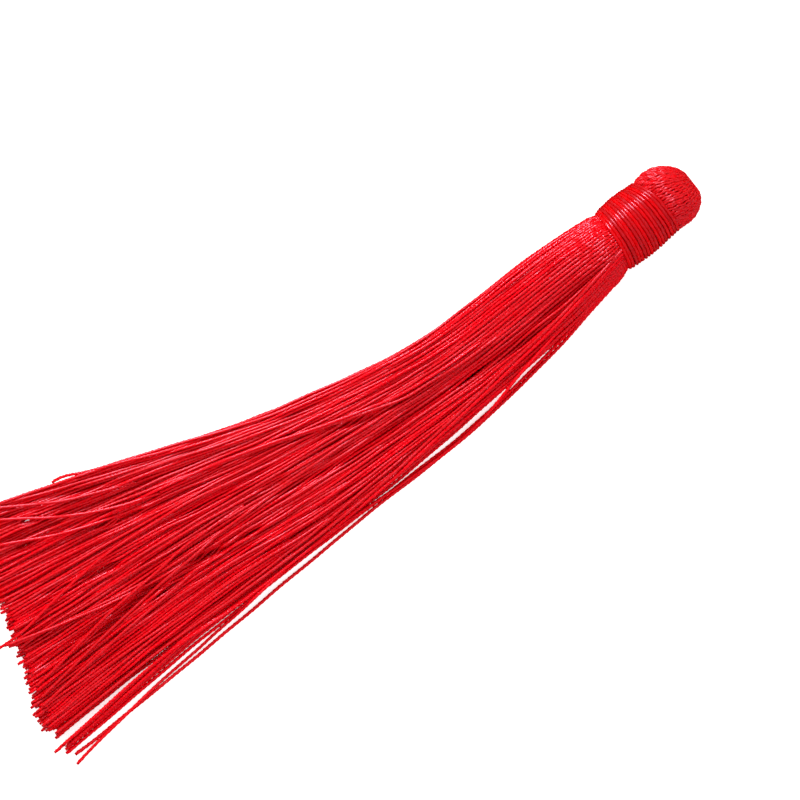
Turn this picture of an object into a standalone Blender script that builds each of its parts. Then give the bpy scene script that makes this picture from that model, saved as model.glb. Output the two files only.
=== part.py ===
"""Silk tassel lying on a flat surface: a skein of twisted yarns folded over at its head, bound round
the neck with a finer thread, and cut through at the free ends, which have fanned out on the surface.

Metres, +Z up. +X runs along the head's axis, from the cut ends towards the folded head."""

import math
from collections import namedtuple

import bmesh
import bpy
import numpy as np
from mathutils import Vector
from mathutils.geometry import delaunay_2d_cdt

# Driving sizes in millimetres. X is 0 at the binding's edge on the strands' side.
MM = 0.001
AXIS_HEIGHT = 4.9
BINDING_LENGTH = 8.7
BINDING_TURNS = 17
BINDING_CREST = 5.26
BINDING_VALLEY = 5.06
BINDING_BORE = 4.42
NECK_RADIUS = 4.1
PIECE_GAP = 0.3
HEAD_SIDES = 96
BINDING_SIDES = 32

# The folded head, from the binding to its blunt crown. along: X. half_width: across, in Y.
# half_height: in Z. ridge: how far each yarn stands out of the head's surface.
HeadRing = namedtuple("HeadRing", "along half_width half_height ridge")
HEAD = (
    HeadRing(along=9.15, half_width=4.75, half_height=4.75, ridge=0.1),
    HeadRing(along=9.7, half_width=5.2, half_height=5.2, ridge=0.26),
    HeadRing(along=10.9, half_width=5.3, half_height=5.3, ridge=0.28),
    HeadRing(along=12.3, half_width=5.05, half_height=4.95, ridge=0.28),
    HeadRing(along=13.6, half_width=4.5, half_height=4.2, ridge=0.26),
    HeadRing(along=14.6, half_width=3.8, half_height=3.0, ridge=0.22),
    HeadRing(along=15.2, half_width=3.2, half_height=1.9, ridge=0.16),
    HeadRing(along=15.5, half_width=2.7, half_height=1.1, ridge=0.0),
)

# Strands: their roots lie in a close honeycomb in the neck, and they are as thick as this.
ROOT_X = 0.6
ROOT_PITCH = 0.56
ROOT_CIRCLE = 3.66
ROOT_SIDE = 0.42
STRAND_SIDE = 0.57
STRAND_THICK = 0.66
MOUTH_CIRCLE = 5.25
MOUTH_DISTANCE = 1.9

# The skirt as it lies. distance: from the binding. low and high: the sides of the main body of
# strands, in Y. height: how high the strands are heaped.
SkirtSection = namedtuple("SkirtSection", "distance low high height")
SKIRT = (
    SkirtSection(distance=0, low=-5.2, high=5.2, height=10.3),
    SkirtSection(distance=5, low=-5.5, high=6.0, height=9.6),
    SkirtSection(distance=10, low=-5.8, high=6.2, height=8.6),
    SkirtSection(distance=20, low=-6.4, high=6.1, height=6.8),
    SkirtSection(distance=30, low=-6.8, high=6.4, height=5.6),
    SkirtSection(distance=40, low=-7.1, high=7.8, height=4.7),
    SkirtSection(distance=50, low=-7.4, high=9.9, height=4.0),
    SkirtSection(distance=60, low=-7.3, high=12.7, height=3.5),
    SkirtSection(distance=70, low=-7.0, high=16.1, height=3.1),
    SkirtSection(distance=80, low=-6.6, high=20.0, height=2.8),
    SkirtSection(distance=90, low=-6.3, high=23.6, height=2.5),
    SkirtSection(distance=100, low=-6.1, high=27.0, height=2.3),
    SkirtSection(distance=116, low=-5.9, high=32.0, height=2.1),
)

# Locks that have parted from the skirt's lower side. strands: how many. Then the lock's place
# across, in Y, at each of LOOSE_DISTANCES. ends: the distance at which it was cut.
LOOSE_DISTANCES = (10, 20, 35, 50, 68, 84, 98, 114)
LooseLock = namedtuple("LooseLock", "strands across ends")
LOOSE_LOCKS = (
    LooseLock(strands=1, across=(-6.5, -8.2, -9.7, -9.8, -10.1, -10.9, -11.4, -12.7), ends=114.4),
    LooseLock(strands=1, across=(-5.9, -7.3, -8.1, -9.0, -9.3, -10.2, -10.8, -11.0), ends=113.7),
    LooseLock(strands=2, across=(-5.3, -6.6, -7.7, -8.5, -8.9, -9.4, -9.9, -10.2), ends=114.6),
    LooseLock(strands=2, across=(-4.9, -6.0, -7.0, -7.8, -8.2, -8.4, -8.8, -9.0), ends=115.4),
    LooseLock(strands=3, across=(-4.4, -5.5, -6.4, -7.1, -7.3, -7.0, -6.9, -6.9), ends=113.6),
)

# Where the strands were cut, as the distance of the end at each place across.
CutPoint = namedtuple("CutPoint", "across distance")
CUT = (
    CutPoint(across=-8, distance=114.6),
    CutPoint(across=-4, distance=114.2),
    CutPoint(across=1, distance=112.0),
    CutPoint(across=6, distance=110.4),
    CutPoint(across=13, distance=108.4),
    CutPoint(across=22, distance=107.2),
    CutPoint(across=31, distance=106.4),
)

# How uneven the cut is, and how much shorter each next strand of a loose lock is.
CUT_RAGGED = 0.9
CUT_STEP = 0.5

# Where the skirt changes, as distances: the round heap flattens, the top comes down to the surface,
# and the strands begin to drift.
FLATTENS = (6.0, 48.0)
COMES_DOWN = (0.0, 30.0)
DRIFTS = (15.0, 80.0)

# Locks of the skirt's main body: how many, how strongly their strands draw together, how uneven the
# locks are, and how far a strand higher in the neck lies towards the high side.
LOCKS = 9
LOCK_DRAW = 0.5
LOCK_UNEVEN = 0.35
LOCK_LEAN = 0.15

# How far each strand wanders from its place, and over what length.
WANDER = 0.55
WANDER_WAVE = 80.0

# How the heap settles, station by station, until no two strands overlap: shares of the way that a
# strand is drawn to its place, across and up, sinks, and is straightened in each step.
STATION_STEP = 3.0
SETTLE_STEPS = 240
DRAW_ACROSS = 0.06
DRAW_UP = 0.03
SINK = 0.01
STRAIGHTEN = 0.2
SEED = 5

# Distances at which a strand's solid has a section, before its cut end, and how the straight runs
# between them are kept apart.
SOLID_DISTANCES = (1.9, 7.0, 16.0, 28.0, 42.0, 58.0, 76.0, 94.0)
LAST_DISTANCE = 116.0
RUN_STEPS = 90
RUN_TESTS = 7
RUN_APART = 0.63

YARN_RED = (0.64, 0.012, 0.022, 1.0)
BINDING_RED = (0.60, 0.010, 0.020, 1.0)
YARN_ROUGHNESS = 0.45
BINDING_ROUGHNESS = 0.3
SHARP_ANGLE = math.radians(50)


def table_curve(distances, column):
    """A smooth curve through one column of a table, as values at the given distances."""
    at, places, values = np.asarray(distances, float), *np.asarray(column, float).T
    slopes = np.gradient(values, places)
    row = np.clip(np.searchsorted(places, at) - 1, 0, len(places) - 2)
    span = places[row + 1] - places[row]
    t = np.clip((at - places[row]) / span, 0.0, 1.0)
    rise = (2 * t**3 - 3 * t**2 + 1) * values[row] + (3 * t**2 - 2 * t**3) * values[row + 1]
    lean = (t**3 - 2 * t**2 + t) * slopes[row] + (t**3 - t**2) * slopes[row + 1]
    return rise + span * lean


def smooth_step(start, end, value):
    t = np.clip((value - start) / (end - start), 0.0, 1.0)
    return t * t * (3 - 2 * t)


def root_places():
    """The strands' centres in the neck, about its axis: a honeycomb, row by row."""
    places = []
    row_pitch = ROOT_PITCH * math.sqrt(3) / 2
    rows = int(ROOT_CIRCLE / row_pitch)
    for row in range(-rows, rows + 1):
        half_row = math.sqrt(ROOT_CIRCLE**2 - (row * row_pitch) ** 2)
        shift = 0.0 if row % 2 else ROOT_PITCH / 2
        first = math.ceil((-half_row - shift) / ROOT_PITCH)
        last = math.floor((half_row - shift) / ROOT_PITCH)
        for place in range(first, last + 1):
            places.append((shift + place * ROOT_PITCH, row * row_pitch))
    return np.array(places)


def lock_order(roots):
    """The strands in order across the neck, the lower side first."""
    return np.argsort(roots[:, 0] + LOCK_LEAN * roots[:, 1], kind="stable")


def main_goals(disc, distances, draw):
    """Places across for the main body's strands, in order: a round heap near the binding, which
    flattens into an even spread drawn together in locks. disc: their places across the neck."""
    half = STRAND_THICK / 2
    low = table_curve(distances, [(row.distance, row.low) for row in SKIRT]) + half
    high = table_curve(distances, [(row.distance, row.high) for row in SKIRT]) - half
    rank = (np.arange(len(disc)) + 0.5) / len(disc)
    lock_wave = LOCKS * rank + LOCK_UNEVEN * np.sin(5 * math.pi * rank)
    drawn = rank + draw * np.sin(2 * math.pi * lock_wave) / (2 * math.pi * LOCKS)
    even = low + drawn[:, None] * (high - low)
    round_heap = (low + high) / 2 + disc[:, None] * (high - low) / 2
    return round_heap + smooth_step(*FLATTENS, distances) * (even - round_heap)


def loose_strands(order):
    """(strand, lock, place in the lock) for every strand of the loose locks."""
    found = [(lock, k) for lock in LOOSE_LOCKS for k in range(lock.strands)]
    return [(strand, lock, k) for strand, (lock, k) in zip(order, found)]


def across_goals(roots, distances, draw):
    """Where each strand is headed in Y at each distance."""
    order = lock_order(roots)
    loose = loose_strands(order)
    main_body = order[len(loose):]
    goals = np.empty((len(roots), len(distances)))
    goals[main_body] = main_goals(roots[main_body, 0] / ROOT_CIRCLE, distances, draw)
    for strand, lock, k in loose:
        route = table_curve(distances, list(zip(LOOSE_DISTANCES, lock.across)))
        goals[strand] = route + (k - (lock.strands - 1) / 2) * STRAND_THICK
    return goals


def cut_distances(roots, draw):
    """The distance at which each strand was cut."""
    near_cut = np.array([CUT[2].distance])
    ends = table_curve(across_goals(roots, near_cut, 0.0)[:, 0], CUT)
    ends += CUT_RAGGED * draw.uniform(-1.0, 1.0, len(roots))
    for strand, lock, k in loose_strands(lock_order(roots)):
        ends[strand] = lock.ends - CUT_STEP * k
    return ends


def height_goals(roots, distances):
    """How high each strand starts out in the heap, from its place in the neck."""
    reach = np.sqrt(np.maximum(ROOT_CIRCLE**2 - roots[:, 0] ** 2, (STRAND_THICK / 2) ** 2))
    layer = np.clip(0.5 + roots[:, 1] / (2 * reach), 0.0, 1.0)
    height = table_curve(distances, [(row.distance, row.height) for row in SKIRT])
    half = STRAND_THICK / 2
    heaped = half + layer[:, None] * (height - 2 * half)
    round_heap = AXIS_HEIGHT + roots[:, 1][:, None] * (MOUTH_CIRCLE - half) / ROOT_CIRCLE
    return round_heap + smooth_step(*COMES_DOWN, distances) * (heaped - round_heap)


def wander(roots, distances, draw):
    """A slow drift of each strand to either side, which grows towards its end."""
    phase = draw.uniform(0.0, 2 * math.pi, (len(roots), 1))
    wave = WANDER_WAVE * draw.uniform(0.7, 1.4, (len(roots), 1))
    return WANDER * smooth_step(*DRIFTS, distances) * np.sin(2 * math.pi * distances / wave + phase)


def parting(across, up, thick):
    """How far strands that overlap at a station move apart, half the overlap each."""
    dy = across[:, None, :] - across[None, :, :]
    dz = up[:, None, :] - up[None, :, :]
    apart = np.sqrt(dy * dy + dz * dz) + 1e-9
    push = np.clip(thick - apart, 0.0, None) / apart * 0.5
    return (push * dy).sum(axis=1), (push * dz).sum(axis=1)


def settled_strands():
    """Every strand's root, and its route as (distances, across, up) and end, one row a strand."""
    draw = np.random.default_rng(SEED)
    roots = root_places()
    distances = np.arange(MOUTH_DISTANCE, LAST_DISTANCE + 1, STATION_STEP)
    goal = across_goals(roots, distances, LOCK_DRAW) + wander(roots, distances, draw)
    rise = height_goals(roots, distances)
    across, up = goal.copy(), rise.copy()
    half = STRAND_THICK / 2
    mouth = (MOUTH_CIRCLE - half) / ROOT_CIRCLE
    for step in range(SETTLE_STEPS):
        calm = 1.0 - step / SETTLE_STEPS
        aside, lift = parting(across, up, STRAND_THICK)
        across += aside + DRAW_ACROSS * calm * (goal - across - aside)
        up += lift + DRAW_UP * calm * (rise - up - lift) - SINK * calm
        for line in (across, up):
            bend = line[:, :-2] - 2 * line[:, 1:-1] + line[:, 2:]
            line[:, 1:-1] += STRAIGHTEN * calm * bend
        across[:, 0] += calm * (roots[:, 0] * mouth - across[:, 0])
        up[:, 0] += calm * (AXIS_HEIGHT + roots[:, 1] * mouth - up[:, 0])
        up[:] = np.maximum(up, half)
    return roots, distances, across, up, cut_distances(roots, draw)


def straight_runs(distances, across, up):
    """The routes at SOLID_DISTANCES and LAST_DISTANCE, parted also between them, where the solid's
    strands run straight."""
    places = np.array(SOLID_DISTANCES + (LAST_DISTANCE,))
    y = np.array([np.interp(places, distances, row) for row in across])
    z = np.array([np.interp(places, distances, row) for row in up])
    for step in range(RUN_STEPS):
        for share in np.linspace(0.0, 1.0, RUN_TESTS):
            near, far = 1.0 - share, share
            middle_y = near * y[:, :-1] + far * y[:, 1:]
            middle_z = near * z[:, :-1] + far * z[:, 1:]
            aside, lift = parting(middle_y, middle_z, RUN_APART)
            y[:, :-1] += near * aside
            y[:, 1:] += far * aside
            z[:, :-1] += near * lift
            z[:, 1:] += far * lift
        z = np.maximum(z, STRAND_THICK / 2)
    return places, y, z


def strand_section(distance, across, up, side):
    """The three corners of a strand's section, flat side down."""
    base = up - STRAND_THICK / 2
    tall = side * math.sqrt(3) / 2
    corners = ((-side / 2, 0.0), (side / 2, 0.0), (0.0, tall))
    return [Vector((-distance, across + y, base + z)) for y, z in corners]


def head_ring(bm, along, half_width, half_height, ridge):
    """One ring of points round the head's axis, flattened where it would sink below the surface."""
    ring = []
    for k in range(HEAD_SIDES):
        turn = 2 * math.pi * k / HEAD_SIDES
        out = ridge * (0.5 if k % 2 else -0.5)
        y = (half_width + out) * math.cos(turn)
        z = AXIS_HEIGHT + (half_height + out) * math.sin(turn)
        ring.append(bm.verts.new((along, y, max(z, 0.0))))
    return ring


def bridge(bm, first, second):
    """Walls between two rings that have as many points."""
    count = len(first)
    for k in range(count):
        after = (k + 1) % count
        bm.faces.new((first[k], first[after], second[after], second[k]))


def plate_faces(bm, rim, roots):
    """The neck's flat end, cut into triangles round the strands' roots. Returns the root faces."""
    points = [(v.co.y, v.co.z) for v in rim]
    outlines = [list(range(len(rim)))]
    for y, z in roots:
        first = len(points)
        corners = strand_section(-ROOT_X, y, z + AXIS_HEIGHT + root_drop(), ROOT_SIDE)
        points += [(c.y, c.z) for c in corners]
        outlines.append([first, first + 1, first + 2])
    found = delaunay_2d_cdt([Vector(p) for p in points], [], outlines, 1, 1e-5)
    verts = list(rim)
    for place in found[0][len(rim):]:
        verts.append(bm.verts.new((ROOT_X, place.x, place.y)))
    root_faces = {}
    for corners, parents in zip(found[2], found[5]):
        face = bm.faces.new([verts[c] for c in reversed(corners)])
        owners = [p for p in parents if p > 0]
        if owners:
            root_faces[owners[0] - 1] = face
    return root_faces


def root_drop():
    """A root section is centred on its place in the honeycomb."""
    return STRAND_THICK / 2 - ROOT_SIDE * math.sqrt(3) / 6


def grow_strand(bm, root_face, sections):
    """Extrudes a root face through the sections and leaves the last one as the cut end."""
    face = root_face
    peak = max(face.verts, key=lambda v: v.co.z)
    base = sorted((v for v in face.verts if v != peak), key=lambda v: v.co.y)
    corner_of = {vert: k for k, vert in enumerate(base + [peak])}
    corners = [corner_of[v] for v in face.verts]
    for section in sections:
        face = bmesh.ops.extrude_discrete_faces(bm, faces=[face])["faces"][0]
        for vert, corner in zip(face.verts, corners):
            vert.co = section[corner]


def strand_sections(places, across, up, end):
    places_to_end = list(SOLID_DISTANCES) + [end]
    y = np.interp(places_to_end, places, across)
    z = np.interp(places_to_end, places, up)
    return [strand_section(d, a, u, STRAND_SIDE) for d, a, u in zip(places_to_end, y, z)]


def yarn_bundle():
    """The head, the neck and every strand, as one closed body."""
    bm = bmesh.new()
    rings = [
        head_ring(bm, ROOT_X, NECK_RADIUS, NECK_RADIUS, 0.0),
        head_ring(bm, BINDING_LENGTH + PIECE_GAP, NECK_RADIUS, NECK_RADIUS, 0.0),
    ]
    rings += [head_ring(bm, *ring) for ring in HEAD]
    for first, second in zip(rings, rings[1:]):
        bridge(bm, first, second)
    bm.faces.new(rings[-1])
    roots, distances, across, up, ends = settled_strands()
    places, y, z = straight_runs(distances, across, up)
    root_faces = plate_faces(bm, rings[0], roots)
    for k, face in root_faces.items():
        grow_strand(bm, face, strand_sections(places, y[k], z[k], ends[k]))
    bmesh.ops.recalc_face_normals(bm, faces=bm.faces[:])
    return bm


def neck_binding():
    """The wound thread: a ring whose turns are ribs, flattened a little where it rests."""
    bm = bmesh.new()
    pitch = BINDING_LENGTH / BINDING_TURNS
    profile = [(0.0, BINDING_BORE), (BINDING_LENGTH, BINDING_BORE)]
    for turn in reversed(range(BINDING_TURNS)):
        profile.append(((turn + 1.0) * pitch, BINDING_VALLEY))
        profile.append(((turn + 0.5) * pitch, BINDING_CREST))
    profile.append((0.0, BINDING_VALLEY))
    rings = []
    for along, radius in profile:
        ring = []
        for k in range(BINDING_SIDES):
            turn = 2 * math.pi * k / BINDING_SIDES
            z = AXIS_HEIGHT + radius * math.sin(turn)
            ring.append(bm.verts.new((along, radius * math.cos(turn), max(z, 0.0))))
        rings.append(ring)
    for first, second in zip(rings, rings[1:] + rings[:1]):
        bridge(bm, first, second)
    bmesh.ops.recalc_face_normals(bm, faces=bm.faces[:])
    return bm


def silk(name, colour, roughness):
    material = bpy.data.materials.new(name)
    material.use_nodes = True
    shader = material.node_tree.nodes["Principled BSDF"]
    shader.inputs["Base Color"].default_value = colour
    shader.inputs["Roughness"].default_value = roughness
    shader.inputs["Metallic"].default_value = 0.0
    return material


def add_node(name, bm, material):
    """Turns a mesh in millimetres into a named object in metres."""
    bmesh.ops.scale(bm, vec=(MM, MM, MM), verts=bm.verts[:])
    mesh = bpy.data.meshes.new(name)
    bm.to_mesh(mesh)
    bm.free()
    mesh.materials.append(material)
    node = bpy.data.objects.new(name, mesh)
    bpy.context.scene.collection.objects.link(node)
    return node


def centre_on_surface(nodes):
    """Puts the origin under the middle of the whole tassel."""
    corners = np.array([v.co for node in nodes for v in node.data.vertices])
    middle = (corners.min(axis=0) + corners.max(axis=0)) / 2
    shift = Vector((-middle[0], -middle[1], -corners[:, 2].min()))
    for node in nodes:
        for vert in node.data.vertices:
            vert.co += shift


def main():
    for old in list(bpy.data.objects):
        bpy.data.objects.remove(old, do_unlink=True)
    yarn = silk("silk_yarn", YARN_RED, YARN_ROUGHNESS)
    thread = silk("binding_thread", BINDING_RED, BINDING_ROUGHNESS)
    bundle = add_node("yarn_bundle", yarn_bundle(), yarn)
    binding = add_node("neck_binding", neck_binding(), thread)
    binding.data.shade_smooth()
    binding.data.set_sharp_from_angle(angle=SHARP_ANGLE)
    centre_on_surface((bundle, binding))


main()
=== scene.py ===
# %% [markdown]
# # A silk tassel laid out flat
# The real thing is one skein of twisted silk yarns. It is folded over at its head, bound round
# the neck with a glossy thread, and cut through at the free end, so that the strands hang loose.
# Here it lies on a table, and its skirt has fanned out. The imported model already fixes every
# size. These cells dress it: first the studio, then the finishes, then the yarns, the head and
# the binding.

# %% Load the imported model
import math
from collections import namedtuple

import bpy
import numpy as np
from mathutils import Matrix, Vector


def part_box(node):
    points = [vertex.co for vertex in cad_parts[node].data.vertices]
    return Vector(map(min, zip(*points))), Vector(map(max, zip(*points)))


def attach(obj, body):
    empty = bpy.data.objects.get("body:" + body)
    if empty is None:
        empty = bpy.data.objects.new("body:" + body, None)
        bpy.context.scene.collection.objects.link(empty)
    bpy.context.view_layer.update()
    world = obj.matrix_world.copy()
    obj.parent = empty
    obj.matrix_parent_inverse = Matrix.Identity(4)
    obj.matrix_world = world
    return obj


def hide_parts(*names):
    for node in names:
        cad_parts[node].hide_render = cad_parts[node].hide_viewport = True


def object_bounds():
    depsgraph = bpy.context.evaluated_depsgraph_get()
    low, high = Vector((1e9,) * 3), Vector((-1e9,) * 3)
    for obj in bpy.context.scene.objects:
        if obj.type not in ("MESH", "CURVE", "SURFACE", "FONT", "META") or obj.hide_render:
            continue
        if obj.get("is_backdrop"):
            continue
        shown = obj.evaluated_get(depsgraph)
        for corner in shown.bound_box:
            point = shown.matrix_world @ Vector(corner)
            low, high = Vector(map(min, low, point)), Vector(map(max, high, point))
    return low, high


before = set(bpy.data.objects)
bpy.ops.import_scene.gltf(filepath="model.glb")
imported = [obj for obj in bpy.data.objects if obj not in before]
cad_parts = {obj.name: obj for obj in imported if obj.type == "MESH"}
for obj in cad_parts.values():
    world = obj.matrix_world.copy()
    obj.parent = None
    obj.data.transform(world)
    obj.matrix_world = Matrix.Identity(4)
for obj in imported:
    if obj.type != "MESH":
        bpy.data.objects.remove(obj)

MM = 0.001
CAD_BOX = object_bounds()
print("nodes:", sorted(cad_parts))

# %% [markdown]
# ## Where things are
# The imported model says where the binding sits. Its box gives the tassel's own axis and the edge
# of the binding on the strands' side. Everything below is measured from that point in
# millimetres: along the axis towards the head, across the axis, and up from the table. One helper
# turns such places into the scene's metres, so a size here can be read off a ruler.

# %% The tassel's own measure
binding_low, binding_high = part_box("neck_binding")
EDGE = np.array([binding_low.x, (binding_low.y + binding_high.y) / 2, 0.0])
AXIS_HEIGHT = 4.9
BINDING_LENGTH = (binding_high.x - binding_low.x) / MM


def placed(places):
    """Places in the tassel's own millimetres, as places in the scene."""
    return EDGE + np.asarray(places, float) * MM


print("binding edge at", (EDGE / MM).round(2), "length", round(BINDING_LENGTH, 2), "mm")

# %% [markdown]
# ## The studio
# The photograph looks straight down on a white table, with the tassel turned so that its head
# points to the upper right and its strands run out of the picture at the left. A camera far away
# with a long lens keeps the near and far strands at one scale. One broad lamp stands low beyond
# the tassel and gives each yarn a bright side and a dark side. A white sky fills the shade, and
# it is kept out of the gloss, since a sky that mirrors in every yarn would turn the red to pink.

# %% Camera
PICTURE_CENTRE = (-40.27, 0.88, 3.0)
PICTURE_WIDTH = 122.4
PICTURE_TURN = math.radians(-38)
CAMERA_HEIGHT = 600.0
SENSOR = 36.0

camera = bpy.data.objects.new("camera", bpy.data.cameras.new("camera"))
bpy.context.scene.collection.objects.link(camera)
camera.location = placed(PICTURE_CENTRE) + np.array([0.0, 0.0, CAMERA_HEIGHT * MM])
camera.rotation_euler = (0.0, 0.0, PICTURE_TURN)
camera.data.sensor_width = SENSOR
camera.data.lens = SENSOR * CAMERA_HEIGHT / PICTURE_WIDTH
bpy.context.scene.camera = camera
print("lens", round(camera.data.lens, 1), "mm")

# %% Lamp, sky and table
KEY_DIRECTION = Vector((0.24, 0.80, 0.58)).normalized()
KEY_TARGET = (-62.0, 0.0, 0.0)
KEY_DISTANCE = 0.45
KEY_SIZE = 0.16
KEY_POWER = 1.25
SKY_STRENGTH = 1.15
TABLE_SIZE = 4.0

key = bpy.data.objects.new("key_lamp", bpy.data.lights.new("key_lamp", "AREA"))
bpy.context.scene.collection.objects.link(key)
key.data.shape = "DISK"
key.data.size = KEY_SIZE
key.data.energy = KEY_POWER
key.location = Vector(placed(KEY_TARGET)) + KEY_DIRECTION * KEY_DISTANCE
key.rotation_euler = KEY_DIRECTION.to_track_quat("Z", "Y").to_euler()

sky = bpy.data.worlds.new("white_sky")
bpy.context.scene.world = sky
sky.use_nodes = True
sky.node_tree.nodes["Background"].inputs["Color"].default_value = (1.0, 1.0, 1.0, 1.0)
sky.node_tree.nodes["Background"].inputs["Strength"].default_value = SKY_STRENGTH
sky.cycles_visibility.glossy = False
bpy.context.scene.view_settings.view_transform = "Standard"

# %% [markdown]
# ## Shader helpers
# A finish is a small network of nodes. Written as plain Python it would be a page of links, so
# one class wraps a socket and lets Python's own operators add the Math nodes, and one method
# makes any other node: its kind, its settings and what goes into its sockets.

# %% A finish and its sockets
class Socket:
    """One output of a node, which takes part in Python expressions."""

    def __init__(self, finish, output):
        self.finish = finish
        self.output = output

    def maths(self, operation, *values):
        sockets = dict(enumerate(values))
        return self.finish.node("Math", {"operation": operation}, sockets)

    def __add__(self, other):
        return self.maths("ADD", self, other)

    def __radd__(self, other):
        return self.maths("ADD", other, self)

    def __sub__(self, other):
        return self.maths("SUBTRACT", self, other)

    def __rsub__(self, other):
        return self.maths("SUBTRACT", other, self)

    def __mul__(self, other):
        return self.maths("MULTIPLY", self, other)

    def __rmul__(self, other):
        return self.maths("MULTIPLY", other, self)


class Finish:
    """A material: its Principled shader, and the one method that adds any other node."""

    def __init__(self, name, **fixed):
        self.material = bpy.data.materials.new(name)
        self.material.use_nodes = True
        self.tree = self.material.node_tree
        self.shader = self.tree.nodes["Principled BSDF"]
        for socket, value in fixed.items():
            self.shader.inputs[socket.replace("_", " ")].default_value = value

    def feed(self, socket, value):
        if isinstance(value, Socket):
            self.tree.links.new(value.output, socket)
        else:
            socket.default_value = value

    def node(self, kind, settings=(), sockets=(), output=0):
        made = self.tree.nodes.new("ShaderNode" + kind)
        for setting, value in dict(settings).items():
            setattr(made, setting, value)
        for place, value in dict(sockets).items():
            self.feed(made.inputs[place], value)
        return Socket(self, made.outputs[output])

    def surface(self, socket, value):
        self.feed(self.shader.inputs[socket], value)

    def blend(self, share, first, second):
        """A colour between two others."""
        settings = {"data_type": "RGBA", "clamp_factor": True}
        return self.node("Mix", settings, {0: share, 6: first, 7: second}, 2)


# %% [markdown]
# ## The table
# It is a plain matt white sheet, large enough that its edge never shows from any side. It belongs
# to the studio and not to the tassel.

# %% Table
bpy.ops.object.select_all(action="DESELECT")
bpy.ops.mesh.primitive_plane_add(size=TABLE_SIZE)
table = bpy.context.object
table.name = "table"
table_finish = Finish("white_table", Base_Color=(0.9, 0.9, 0.905, 1.0), Roughness=0.8,
                      Specular_IOR_Level=0.1, Emission_Color=(1.0, 1.0, 1.0, 1.0),
                      Emission_Strength=0.5)
table.data.materials.append(table_finish.material)
table.visible_glossy = False
table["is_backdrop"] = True

# %% [markdown]
# ## Silk yarn, the finish
# Reeled silk is a bundle of clear filaments, so its gloss runs in fine lines along each ply and
# its colour is deep where light has gone through many of them. The filaments are far finer than a
# mesh can hold, so they are bump. Each strand carries its own tone as an attribute, and the
# pattern follows the yarn's own UV map: u goes round the yarn and v along it.

# %% Silk yarn
DEEP_RED = (0.68, 0.0000, 0.0004, 1.0)
BRIGHT_RED = (0.97, 0.0001, 0.0060, 1.0)
SHEEN_TINT = (1.0, 0.58, 0.82, 1.0)
SILK_IOR = 1.54
NOISE_SETTINGS = {"noise_dimensions": "3D"}
# The patterns' scales round the yarn and along it, and how much each changes colour and gloss.
STREAK_SCALE = (5.0, 0.8)
FILAMENT_SCALE = (40.0, 0.9)
TONE_COLOUR = 0.9
# Streaks along the yarn lighten its colour in places: partly uneven colour, partly painted sheen.
STREAK_TONE_AND_SHEEN = 0.6
DEEPENED = 0.22
STREAK_GLOSS = 0.3
TONE_GLOSS = 0.12
BUMP_STRENGTH = 0.6


def stretched(finish, round_scale, along_scale):
    """The yarn's own UV place, scaled round the yarn and along it."""
    place = finish.node("UVMap", {"uv_map": "yarn"})
    scale = {1: (round_scale, along_scale, 1.0)}
    return finish.node("VectorMath", {"operation": "MULTIPLY"}, {0: place, **scale})


def silk(name, deep, bright, roughness, filament_depth, specular):
    """Twisted silk: a tone for each strand, streaks along the plies, and fine filaments."""
    finish = Finish(name, Specular_IOR_Level=specular, Specular_Tint=SHEEN_TINT, IOR=SILK_IOR)

    def noise(scales, detail):
        sockets = {"Vector": stretched(finish, *scales), "Scale": 1.0, "Detail": detail}
        return finish.node("TexNoise", NOISE_SETTINGS, sockets)

    tone = finish.node("Attribute", {"attribute_name": "tone"}, output=2)
    streak = noise(STREAK_SCALE, 3.0)
    # The strand's random tone, lightened along the streaks: partly uneven colour, partly painted
    # sheen.
    share = tone * TONE_COLOUR + streak * STREAK_TONE_AND_SHEEN - DEEPENED
    finish.surface("Base Color", finish.blend(share, deep, bright))
    finish.surface("Roughness", roughness + (streak - 0.5) * STREAK_GLOSS - tone * TONE_GLOSS)
    filament = noise(FILAMENT_SCALE, 2.0)
    bump = finish.node("Bump", {}, {"Strength": BUMP_STRENGTH, "Height": filament,
                                    "Distance": filament_depth * MM})
    finish.surface("Normal", bump)
    return finish.material


yarn_silk = silk("silk_yarn", DEEP_RED, BRIGHT_RED,
                 roughness=0.27, filament_depth=0.02, specular=1.0)
print("silk yarn finish has", len(yarn_silk.node_tree.nodes), "nodes")

# %% [markdown]
# ## One straight yarn
# The yarn has three plies twisted together, which gives it its beads of light. It could be three
# coiled tubes, but hidden inner walls would double its faces. Instead a six-sided ring has every
# second corner drawn in, and a Screw modifier twists that ring along a straight line. It is
# modelled once here, longer than any strand.

# %% Model the straight yarn
PLY_RADIUS = 0.275
GROOVE_RADIUS = 0.238
TWIST_PITCH = 3.0
RINGS_PER_TWIST = 6
YARN_TWISTS = 40
RING_SIDES = 6
RING_STEP = TWIST_PITCH / RINGS_PER_TWIST


def alone(piece):
    """Makes a piece the only one selected, and active."""
    bpy.ops.object.select_all(action="DESELECT")
    piece.select_set(True)
    bpy.context.view_layer.objects.active = piece


def apply_modifiers(piece):
    alone(piece)
    for modifier in list(piece.modifiers):
        bpy.ops.object.modifier_apply(modifier=modifier.name)


def select_points(piece, chosen):
    """Selects in edit mode the points that chosen picks by number and place."""
    alone(piece)
    bpy.ops.object.mode_set(mode="EDIT")
    bpy.ops.mesh.select_mode(type="VERT")
    bpy.ops.mesh.select_all(action="DESELECT")
    bpy.ops.object.mode_set(mode="OBJECT")
    for point in piece.data.vertices:
        point.select = bool(chosen(point.index, point.co))
    bpy.ops.object.mode_set(mode="EDIT")


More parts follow.
